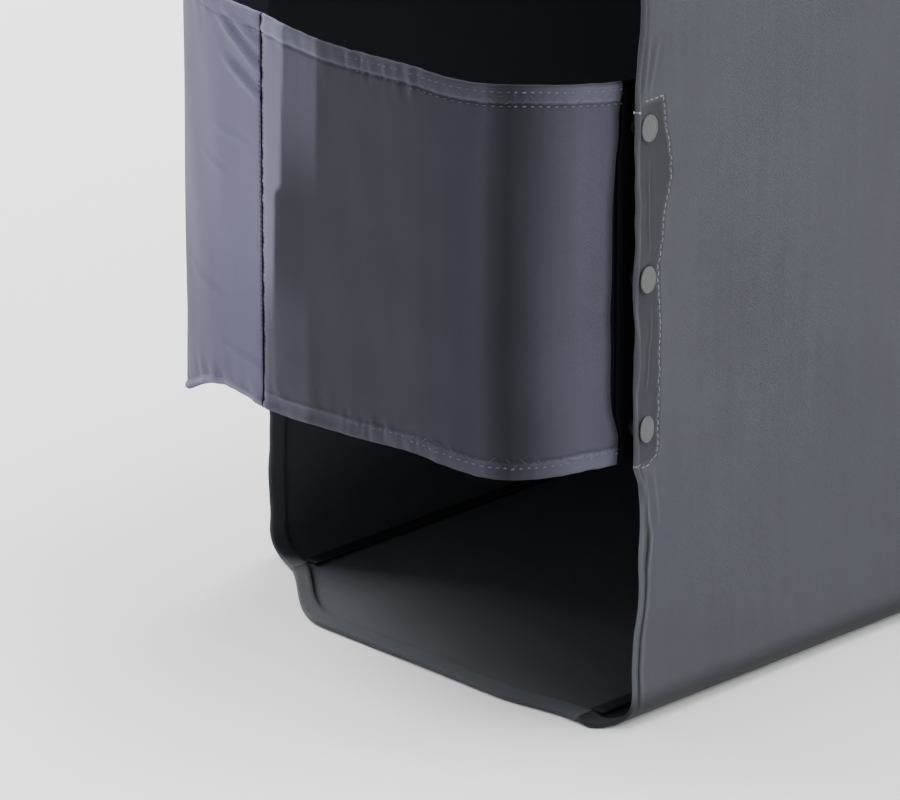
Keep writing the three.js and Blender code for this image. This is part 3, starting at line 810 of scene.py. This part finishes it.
# ---- The cover's panels
def seam_relief(d, along, seed):
    """The pinch at a sewn seam and the small puckers that it pulls up."""
    ripple = waves(along, 0 * along, 11, 0, 0, seed, 6)
    return -0.7 * bump(d, 0, 2.0) + 0.25 * ripple * exp(-d / 7) * ramp(d, 0, 2)


def loose_part(z):
    """Where the front panel's edge is rolled and not stitched flat, below the placket."""
    return 1 - ramp(z, 108, 124)


def roll_width(z):
    """How far from that edge the groove behind the roll lies."""
    return 3.7 + 1.2 * bump(z, 92, 12) - 0.5 * bump(z, 108, 8)


# Painted highlight and shade across the loose rolled edge, by share of its width.
roll_painted_light = eased([0, 0.12, 0.3, 0.45, 0.58, 0.72, 0.88, 1, 1.1, 1.2, 1.32, 1.45, 1.6, 1.75, 2], [0.75,
    0.7, 0.15, -0.15, -0.42, -0.66, -0.82, -0.9, -0.8, -0.2, 0.7, 0.6, 0.1, -0.1, 0], soft=0.04)
placket_side = eased([PLACKET_Z0, 137, 142, 155, 175, 230, 247, 258, 266, 275, 288, 300, 318], [83.4, 85.2,
    85.8, 86.0, 86.8, 86.0, 88.2, 89.2, 92.2, 93.4, 92.3, 89.3, 86.8], soft=4)


def placket_path():
    """The stitched outline of the snap placket, as points (y, z) on the front face."""
    step, foot_end = 0.7, placket_side(PLACKET_Z0)
    z = arange(PLACKET_Z0 + 2, PLACKET_TOP, step)
    foot_y = arange(FRONT_MOUTH + 1.5, placket_side(z[0]) - 1, step)
    head_y = arange(placket_side(PLACKET_TOP) - step, FRONT_MOUTH + 1.5, -step)
    lift = ramp(foot_y, foot_end - 5, foot_end)
    return (join([foot_y, placket_side(z), head_y]), join([PLACKET_Z0 - 1 + 3 * lift, z,
        PLACKET_TOP + 0.5 + 0 * head_y]))


PATH = stack(placket_path(), -1)


def placket_tone_and_shade(y, z, d):
    """The placket's dark double cloth, with painted light and shade: a painted highlight and
    shade across the loose rolled fold below it, a painted shade line along the stitched hem and
    painted shade under the lower edge.
    """
    inside = 1 - ramp(y, placket_side(z) - 2, placket_side(z) + 0.2)
    inside = inside * ramp(z, PLACKET_Z0, PLACKET_Z0 + 2) * ramp(d, 2.4, 5)
    inside = inside * (1 - ramp(z, PLACKET_TOP - 2.5, PLACKET_TOP - 0.5))
    edge_painted_shade = -0.68 * (1 - ramp(z, 8, 20))  # painted shade under the lower edge
    # Painted highlight and shade across the loose roll, and a painted shade line at the stitched hem.
    roll = roll_painted_light(d / roll_width(z)) * loose_part(z) * ramp(z, 8, 20)
    hem_line_painted_shade = -0.15 * bump(d, FRONT_HEM, 0.8) * (1 - loose_part(z))
    return roll - 0.5 * inside + hem_line_painted_shade + edge_painted_shade


def placket_relief(y, z, d):
    """The placket's double cloth: a stitched groove round it, and puckers inside."""
    gap = np.full(y.shape, 99.0)
    close = (y < 110) & (z > PLACKET_Z0 - 15) & (z < 330)
    flat = stack([y[close], z[close]], -1)
    gap[close] = sqrt(((flat[:, None] - PATH[None]) ** 2).sum(-1)).min(1)
    inside = (y < placket_side(z)) & (z > PLACKET_Z0) & (z < PLACKET_TOP)
    raised = 0.35 * where(inside, ramp(gap, 0, 3), 0)
    outline = 0.3 * bump(gap, 1.3, 0.8) - 0.55 * bump(gap, 0, 1.1)
    pull = 0.26 * waves(y, z, 7.5, 90, 8, 61, 7) * exp(-gap / 4) * ramp(d, 0, 4)
    caps = sum(-0.9 * bump(hypot(y - SNAP_Y, z - at), 0, CAP_R + 1.5) for at in SNAP_Z)
    folds = creases(y, z, ((78, 345), (74, 316), 1.5, 0.8), ((84, 342), (77, 315), 1.6, 0.6), ((76, 132),
        (79, 96), 1.4, 0.7), ((82, 131), (86, 100), 1.6, 0.5), ((77, 286), (78, 236), 0.9, 0.5), ((80,
        214), (77, 168), 1.0, 0.5))
    fold = roll_width(z)
    loose = 0.4 * sin(pi * clip(d / fold, 0, 1) ** 0.55)
    loose += 0.45 * bump(d, fold + 2.0, 0.8) - 0.7 * bump(d, fold, 0.8)
    loose *= loose_part(z) * ramp(z, 6, 18)
    flare = 1.1 * (1 - ramp(d, 0, 14)) * ramp(z, 90, 150)
    flare *= 1 - ramp(z, 300, 340)
    return raised + outline + pull + caps + folds + loose + flare


def face_panel(name, surface, sign, seed, nodes):
    """The front (1) or back (-1) panel: turned in at the mouth, rounded down to its seams."""
    front = sign > 0
    share, offset, sunk = rows_between(58, 4.5, 600, last=False, dense=0.6 if front else 1)
    b = linspace(PANEL_B0, PANEL_B1, 241)
    a0 = panel_mouth(sign, b)
    a = a0 + share[:, None] * (PANEL_A1 - a0) + offset[:, None]
    a, b, depth = together(a, b, sunk[:, None])
    d = a - a0
    to_handle = (a - CORNER_Y) / REACH_Y
    to_side = (abs(b - WIDTH / 2) - (WIDTH / 2 - CORNER_Z)) / REACH_Z
    rim = (1 - clip(maximum(to_handle, to_side), 0, 1)) * 70  # roughly mm to the seam
    inner, near = ramp(rim, 0, 30), exp(-maximum(d, 0) / 30)
    edge = hem_relief(d, FRONT_HEM if front else BACK_HEM, b, seed + 1, 0.6, 0.55, 44)
    height = seam_relief(rim, where(rim < 40, a + b, b), seed)
    height += where(depth > 0.4, 0, edge) * (1 - loose_part(b) if front else 1)
    height += 0.30 * waves(a, b, 46, 90, 14, seed + 2) * near * inner
    height += 0.10 * waves(a, b, 18, 80, 14, seed + 4) * near * inner
    broad = waves(a, b, 150, 40, 30, seed + 3)
    height += 0.5 * broad * ramp(rim, 0, 60) * ramp(d, 0, 50)
    tone = 1.0
    if front:
        height += placket_relief(a, b, d)
        tone = 1 + placket_tone_and_shade(a, b, d)
    return cloth_piece(name, surface, a, b, sign, COVER, *ON_COVER, nodes, height, depth, tone)


front = face_panel("front_cloth", front_face, 1, 101, ("front_panel", "front_mouth_hem"))
back = face_panel("back_cloth", back_face, -1, 131, ("back_panel", "back_mouth_hem"))

stitch_row("placket_stitches", front_face, *PATH.T, THREAD, cloth=front, pitch=3.4, long=2.7, r=0.5)
for label, at_z, start, end, thread in (
        ("top", 309.5, -4.2, -1.8, THREAD_PALE), ("foot", PLACKET_Z0 + 0.5, -2.6, 2.0, THREAD)):
    stitch_row(f"placket_tack_{label}", front_face, arange(FRONT_MOUTH + start, FRONT_MOUTH + end, 0.4),
        at_z, thread, cloth=front, pitch=0.7, long=1.5, r=0.3, across=True)
cloth_piece("placket_lining", flat_sheet(PLACKET_X), linspace(PLACKET_Y0, PLACKET_Y1, 14)[:, None],
    linspace(PLACKET_Z0, PLACKET_Z1, 90), 1, COVER, *ON_COVER, ("placket_facing",), thick=0.9)

# The lower and upper side, with the zip's opening in the upper one.
T = linspace(CORNER_Y, CORNER_Y + CORNER_ARC, 400)
END_T = float(interp(600, gusset(T, SEAM_X)[:, 1], T))  # where the handle end is sewn on
SEAM_GAP = 0.35  # half the line between two cloths at a seam
COIL = case_box("zip_coil_front")
COIL_X, _, COIL_Z = np.mean(COIL, axis=0)
COIL_Y0, COIL_Y1 = COIL[0][1], COIL[1][1]
(_, TAPE_Y0, _), (TAPE_X, TAPE_Y1, TAPE_Z) = case_box("zip_tape_front")
TAPE_PAST = 8  # how far the zip's tapes go past its opening
ZIP_HALF, ZIP_Y0, ZIP_Y1 = 7, TAPE_Y0 + TAPE_PAST, TAPE_Y1 - TAPE_PAST


def side_panel(name, upper, seed, nodes):
    """The lower or upper side: from its turned mouth edge to the handle end's seam."""
    columns = linspace(-1, 1, int(2 * SEAM_X / 3.2) + 1)
    x = (SEAM_X - SEAM_GAP) * sin(columns * 1.35) / sin(1.35)  # denser at its seams
    fold, sunk = hem_rows()
    near, straight = 30, 150  # the rows follow the mouth up to near, and run straight from here
    far = linspace(straight, END_T - SEAM_GAP, 92)
    if upper:
        lips, clear = (0, 1.2, 2.6), 1.3  # extra rows and columns round the zip's opening
        ends = [ZIP_Y0 - more for more in lips] + [ZIP_Y1 + more for more in lips]
        far = np.sort(join([far[abs(far[:, None] - ends).min(1) > clear], ends]))
        sides = [side * (ZIP_HALF + more) for side in (-1, 1) for more in lips]
        x = np.sort(join([x[abs(abs(x) - ZIP_HALF) > clear], sides]))
    a0 = mouth(x)
    share = linspace(0, 1, 20)[:-1, None]
    t = join([a0 + join([fold, arange(FOLD_R + 1, near, 1.0)])[:, None],
        (a0 + near) * (1 - share) + straight * share, far[:, None] + 0 * x])
    depth = np.zeros(t.shape)
    depth[:len(sunk)] = sunk[:, None] * 1.25
    d, x = t - a0, x + 0 * t
    to_seam = SEAM_X - abs(x)
    rim = minimum(to_seam, where(d > 60, END_T - t, 99))
    height = seam_relief(rim, where(to_seam < 12, t, x), seed)
    height += where(depth > 0.4, 0, hem_relief(d, HEM_LEG, x, seed + 1, 0.5, 0.5, 11))
    pulled = exp(-maximum(d, 0) / 35) * ramp(rim, 0, 20) * ramp(d, 3, 14)
    height += 0.5 * waves(x, t, 40, 12, 18, seed + 2) * pulled
    height += 0.6 * waves(x, t, 160, 60, 40, seed + 3) * ramp(rim, 0, 40)
    if not upper:
        height = minimum(height, 0) - 0.1  # it rests on what the case stands on
        return cloth_piece(name, gusset, t, x, 1, COVER, *ON_COVER, nodes, height, depth)
    off = maximum(abs(x) - ZIP_HALF, maximum(ZIP_Y0 - t, t - ZIP_Y1))
    height += where(off > -0.5, -0.9 * bump(off, 0, 1.3) + 0.3 * bump(off, 4, 2.5), 0)
    hole = ((AROUND - ZIP_Y1, -ZIP_HALF), (AROUND - ZIP_Y0, ZIP_HALF))
    return cloth_piece(name, gusset, AROUND - t, x, 1, COVER, *ON_COVER, nodes, height, depth, hole=hole)


lower_side = side_panel("lower_side_cloth", False, 201, ("lower_side_panel", "lower_mouth_hem"))
upper_side = side_panel("upper_side_cloth", True, 231, ("upper_side_panel", "upper_mouth_hem"))

# The handle end: rings from the turned edge of its opening out to its seams.
SLOT_R, SLOT_FACING, SLOT_RIM = 20, 9, 14
SLOT_LO, SLOT_HI = case_box("handle_slot_facing")
SLOT_LO, SLOT_HI = SLOT_LO[[0, 2]] + SLOT_FACING, SLOT_HI[[0, 2]] - SLOT_FACING


def outline(lo, hi, r, count=70):
    """A rounded rectangle as count points a side, starting at the middle of each corner."""
    q = linspace(0, pi / 2, 24)
    line = join([stack([cx + r * cos(q + k * pi / 2), cy + r * sin(q + k * pi / 2)], 1) for k, (cx,
        cy) in enumerate(((hi[0] - r, hi[1] - r), (lo[0] + r, hi[1] - r), (lo[0] + r, lo[1] + r),
        (hi[0] - r, lo[1] + r)))])
    line = join([line, line[:1]])
    along = run(line)
    marks = [(along[24 * k] + along[24 * k + 23]) / 2 for k in range(4)]
    marks.append(marks[0] + along[-1])
    at = join([linspace(*marks[k:k + 2], count, endpoint=False) for k in range(4)])
    return at_length(line, along, at % along[-1])


def slot_outline(grow):
    """The opening's outline, grown by some width, as (x, t) on the gusset."""
    xz = outline(SLOT_LO - grow, SLOT_HI + grow, max(SLOT_R + grow, 2))
    return xz + (0, AROUND / 2 - WIDTH / 2)


outer = outline((-SEAM_X + SEAM_GAP, END_T + SEAM_GAP), (SEAM_X - SEAM_GAP, AROUND - END_T - SEAM_GAP),
    0.4)
fold, sunk = hem_rows()
close = arange(FOLD_R + 1, SLOT_RIM, 1.1)
spread = linspace(0, 1, 40)[1:]
rings = array([slot_outline(grow) for grow in join([fold, close])]
    + [slot_outline(SLOT_RIM) * (1 - k) + outer * k for k in spread])
x, t = rings[..., 0], rings[..., 1]
d = join([fold, close, SLOT_RIM + 0 * spread])[:, None] + 0 * x
depth = join([sunk * 1.25, 0 * close, 0 * spread])[:, None] + 0 * x
along = run(np.vstack([rings[0][-1:], rings[0]]))[1:] + 0 * x
rim = minimum(SEAM_X - abs(x), minimum(t - END_T, AROUND - END_T - t))
height = seam_relief(rim, where(SEAM_X - abs(x) < 12, t, x), 301)
height += where(depth > 0.4, 0, hem_relief(d, HEM_LEG, along, 302))
height += 0.6 * waves(x, t, 120, 60, 60, 303) * ramp(rim, 0, 40)
height += 0.35 * waves(x, t, 26, 45, 60, 304) * exp(-rim / 16) * ramp(rim, 0, 6)
handle_end = cloth_piece("handle_end_cloth", gusset, t, x, 1, COVER, *ON_COVER,
    ("handle_end_panel",), height, depth, wrap=True)
facing = array([slot_outline(grow) for grow in linspace(0.6, SLOT_FACING, 8)])
cloth_piece("handle_slot_lining", gusset, facing[..., 1], facing[..., 0], 1, TAPE, "tape_cloth",
    "cover", ("handle_slot_facing",), 0, 3.6, thick=0.8, wrap=True, sewn_to="handle_end_cloth")
for label, grow in (("inner", 2.2), ("outer", 8.2)):
    loop = slot_outline(grow)
    x, t = join([loop, loop[:1]]).T
    stitch_row(f"handle_slot_stitches_{label}", gusset, t, x, THREAD, cloth=handle_end, pitch=3.6,
        long=2.2, r=0.3)

# ---- Stitches round the mouth, and the elastics in its hem
b = arange(PANEL_B0 + 4, PANEL_B1 - 4, 0.8)
high = b >= WIDTH / 2
for name, side, chosen, inset, thread, r in (
        ("front_mouth_stitches_high", 1, b > PLACKET_TOP + 2, FRONT_HEM, THREAD_FAINT, 0.18),
        ("back_mouth_stitches_low", -1, ~high & (b > 0), BACK_HEM, THREAD, 0.24),
        ("back_mouth_stitches_high", -1, high, BACK_HEM, THREAD, 0.24)):
    surface, cloth = (front_face, front) if side > 0 else (back_face, back)
    stitch_row(name, surface, (panel_mouth(side, b) + inset)[chosen], b[chosen], thread, side, cloth=cloth,
        pitch=3.8, long=1.9, r=r)
x = arange(-SEAM_X + 4, SEAM_X - 4, 0.8)
columns = linspace(-SEAM_X + 1, SEAM_X - 1, 90)
band = linspace(2.2, 6.8, 5)[:, None]
for label, cloth in (("lower", lower_side), ("upper", upper_side)):
    t, wide = mouth(x) + SIDE_HEM, mouth(columns) + band
    if label == "upper":
        t, wide = AROUND - t, AROUND - wide
    stitch_row(f"{label}_mouth_stitches", gusset, t, x, THREAD, cloth=cloth, pitch=3.8, long=1.9, r=0.24)
    cloth_piece(f"{label}_mouth_band", gusset, wide, columns, 1, ELASTIC, "elastic", "cover",
        (f"{label}_mouth_elastic",), 0, 1.15, thick=0.4, sewn_to=f"{label}_side_cloth")
b = linspace(PANEL_B0 + 1, PANEL_B1 - 1, 150)
cloth_piece("back_mouth_band", back_face, panel_mouth(-1, b) + band, b, -1, ELASTIC, "elastic",
    "cover", ("back_mouth_elastic",), 0, 0.95, thick=0.3, sewn_to="back_cloth")


# ---- Tapes inside the two long seams
def seam_strip(face, side):
    """A surface along a gusset seam: w below 0 on the gusset, above 0 on the face panel."""
    def surface(t, w):
        t, w = together(t, w)
        mirrored = t > AROUND / 2
        far = where(mirrored, AROUND - t, t)
        turn, u, v, beyond = along_corner(far)
        inward = 1 - maximum(w, 0) / (REACH_Z + (REACH_Y - REACH_Z) * turn)
        a = where(far < CORNER_Y, far, CORNER_Y + u * inward * REACH_Y)
        b = PANEL_B0 + (1 - v * inward) * REACH_Z + beyond
        on_face = face(a, where(mirrored, WIDTH - b, b))
        on_gusset = gusset(t, side * (SEAM_X + minimum(w, 0)))
        return where((w > 0)[..., None], on_face, on_gusset)
    return surface


for label, face, side in (("front", front_face, 1), ("back", back_face, -1)):
    start = mouth(side * SEAM_X) + 13
    t = linspace(start, AROUND - start, 460)[:, None]
    cloth_piece(f"{label}_seam_lining", seam_strip(face, side), t, linspace(-4, 4, 7), side,
        TAPE, "tape_cloth", "cover", (f"{label}_seam_tape",), 0, 1.9, thick=0.7, sewn_to=f"{label}_cloth")

# ---- Snap caps: a rolled rim round a slightly domed top
CAP_SHAPE = [(0, 1.0), (0.25, 0.995), (0.5, 0.97), (0.66, 0.92), (0.72, 0.84), (0.76, 0.84),
    (0.82, 0.95), (0.90, 0.97), (0.96, 0.84), (1.0, 0.55), (0.99, 0.3), (0.93, 0.19),
    (0.24, 0.19), (0.24, None), (0, None)]  # (share of its radius, of its height)
q = linspace(0, 2 * pi, 57)[:-1]
for i, (at, flare) in enumerate(zip(SNAP_Z, (10, 12, 15)), 1):
    turn = radians(flare)  # the cloth's edge flares, and turns the cap with it
    rings = []
    for share, up in CAP_SHAPE:
        r = max(share * CAP_R, 0.02)
        x, y, z = SHANK_X + 0 * q, r * cos(q), r * sin(q)
        if up is not None:
            x = FACE + 0.55 + up * (CAP_X - FACE) * 0.8 - y * sin(turn) - 0.09 * z
            y = y * cos(turn)
        rings.append(stack([x, SNAP_Y - 1.6 + y, at + z], 1))
    mesh_piece(f"cap_{i}", row(rings).reshape(-1, 3),
        grid_faces(len(CAP_SHAPE), len(q), wrap_v=True)[:, ::-1], CAP, "cover",
        (f"snap_cap_{i}",))

# ---- The zip: ribbed tapes, moulded coils and their stitching
PITCH, WIRE_R, COIL_RX, COIL_RZ = 1.7, 0.3, 0.72, 0.5
ZIP_SIDES = (("front", 1), ("back", -1))
for label, side in ZIP_SIDES:
    cloth_piece(f"zip_{label}_tape", lambda a, b: stack([b, a, 0 * a + TAPE_Z], -1), linspace(TAPE_Y0,
        TAPE_Y1, 160)[:, None], side * linspace(1.3, TAPE_X, 10),
        -1, TAPE, "zip_coil", "cover", (f"zip_tape_{label}",), thick=0.7, sewn_to="upper_side_cloth")
    turns = (COIL_Y1 - COIL_Y0) / PITCH
    q = linspace(0, 2 * pi * turns, int(14 * turns))
    core = stack([0 * q + side * COIL_X, COIL_Y0 + PITCH * q / (2 * pi) + 0.4 * side, 0 * q + COIL_Z], 1)
    out = stack([COIL_RX * cos(q), 0 * q, COIL_RZ * sin(q)], 1)
    ahead = unit(np.gradient(core + out, axis=0))
    tubes(f"zip_{label}_coil", core + out, WIRE_R * unit(out), WIRE_R * cross(ahead, unit(out)),
        6, ZIP_COIL, "zip_coil", "cover", (f"zip_coil_{label}",), flip=True)
y = arange(ZIP_Y0 + 1, ZIP_Y1 - 1, 0.8)
for label, side in ZIP_SIDES:
    stitch_row(f"zip_stitches_{label}", gusset, AROUND - y, side * (ZIP_HALF + 2.6), THREAD,
        cloth=upper_side, pitch=3.4, long=2.1, r=0.27)

# ---- The CAD's metal parts keep their shape, with softened edges
KEPT = {"zip_slider": 0.3, "zip_pull": 0.3, "zip_stop_closed": 0.3, "zip_stop_open": 0.3}
for part, radius in (("socket", 0.2), ("stud", 0.2), ("post", 0.15)):
    KEPT.update({f"snap_{part}_{i}": radius for i in (1, 2, 3)})
for name, radius in KEPT.items():
    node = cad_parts[name]
    node.data.materials.clear()
    node.data.materials.append(ZIP_METAL if name.startswith("zip") else GUNMETAL)
    soften = node.modifiers.new("soften", "BEVEL")
    soften.width, soften.segments, soften.limit_method = radius * MM, 2, "ANGLE"

# ---- The hinge line where the root is sewn to the back panel; the root's transform is baked
hinge_x, hinge_y = LINE_X[0], LINE_Y[0]
start, end = row([[hinge_x, hinge_y - 1, SNAP_Z[1]], [hinge_x, hinge_y - 21, SNAP_Z[1]]])
tuple(start)
tuple(end)
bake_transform(root)
